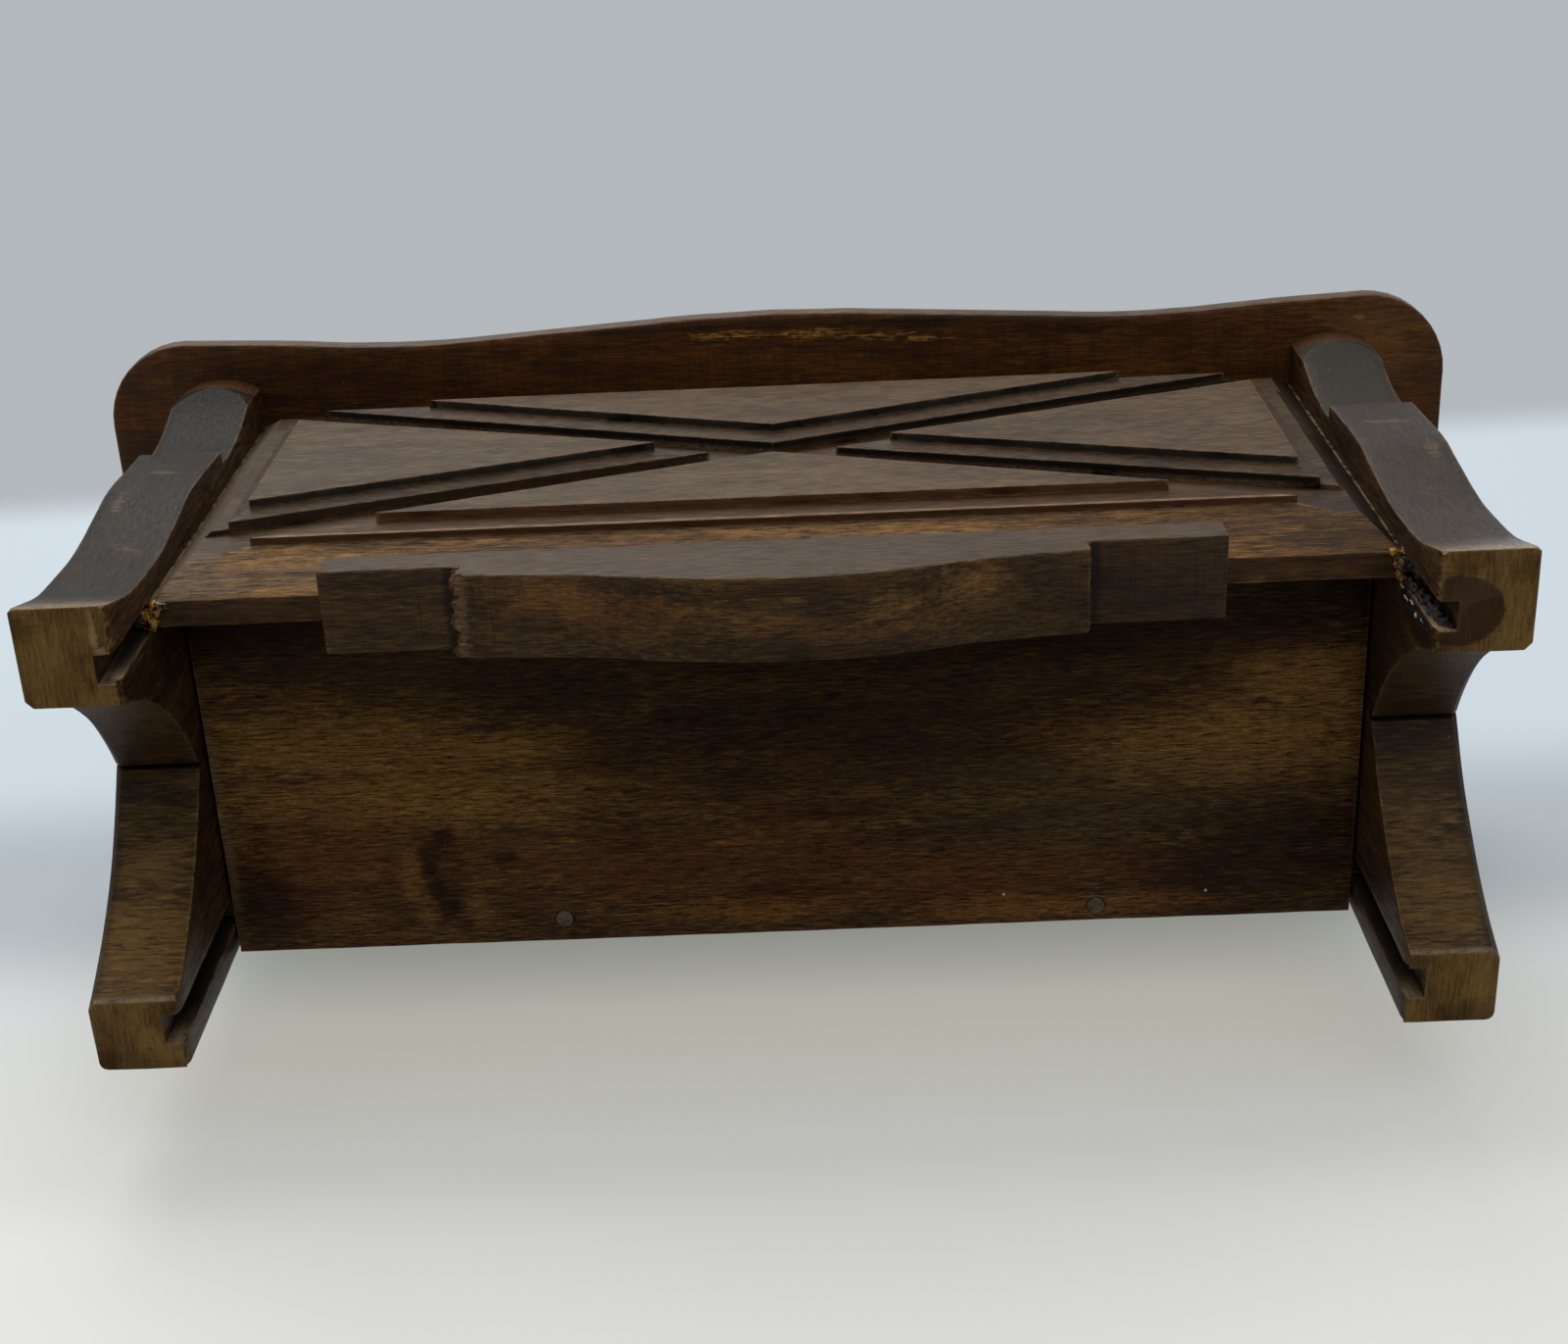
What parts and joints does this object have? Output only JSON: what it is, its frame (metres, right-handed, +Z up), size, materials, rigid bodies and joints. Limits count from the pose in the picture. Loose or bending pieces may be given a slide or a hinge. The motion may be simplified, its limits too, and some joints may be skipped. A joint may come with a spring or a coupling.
{
  "type": "wooden jewelry box",
  "caption": "Footed wooden jewelry box with a carved front panel, arched side boards, a waved hinged lid and a velvet lining.",
  "frame": {"origin": "on the ground, below the middle of the whole object's width and depth", "axes": "+Z up, +Y to the rear with the carved panel facing -Y, X along the front"},
  "size_m": [0.34, 0.1254, 0.1492],
  "materials": {
    "side_board_wood": "stained, worn, satin",
    "front_panel_wood": "stained, carved, worn satin",
    "apron_wood": "stained, roughly sawn",
    "bottom_board_wood": "dark stain, worn",
    "back_panel_wood": "stained, satin",
    "lid_wood": "stained, varnished, worn at the edge",
    "hinge_brass": "aged brass",
    "brass_screw": "aged brass",
    "steel_screw": "dull steel",
    "velvet": "dark red velvet"
  },
  "bodies": {
    "case": {"side_left": "side_board_wood", "side_right": "side_board_wood", "front_panel": "front_panel_wood", "apron": "apron_wood", "bottom_board": "bottom_board_wood", "back_panel": "back_panel_wood", "hinge_leaf_case_left": "hinge_brass", "hinge_leaf_case_right": "hinge_brass", "hinge_pin_left": "hinge_brass", "hinge_pin_right": "hinge_brass", "hinge_screw_case_left_1": "brass_screw", "hinge_screw_case_left_2": "brass_screw", "hinge_screw_case_right_1": "brass_screw", "hinge_screw_case_right_2": "brass_screw", "bottom_screw_left": "steel_screw", "bottom_screw_right": "steel_screw", "lining_floor": "velvet", "lining_front": "velvet", "lining_back": "velvet", "lining_left": "velvet", "lining_right": "velvet"},
    "lid": {"lid": "lid_wood", "hinge_leaf_lid_left": "hinge_brass", "hinge_leaf_lid_right": "hinge_brass", "hinge_screw_lid_left_1": "brass_screw", "hinge_screw_lid_left_2": "brass_screw", "hinge_screw_lid_right_1": "brass_screw", "hinge_screw_lid_right_2": "brass_screw", "lining_lid": "velvet"}
  },
  "joints": [
    {"name": "lid_hinge", "type": "hinge", "parent": "case", "child": "lid", "pos_m": [0, 0.06075, 0.14405], "axis": [-1, 0, 0], "range_deg": [0, 95]}
  ]
}
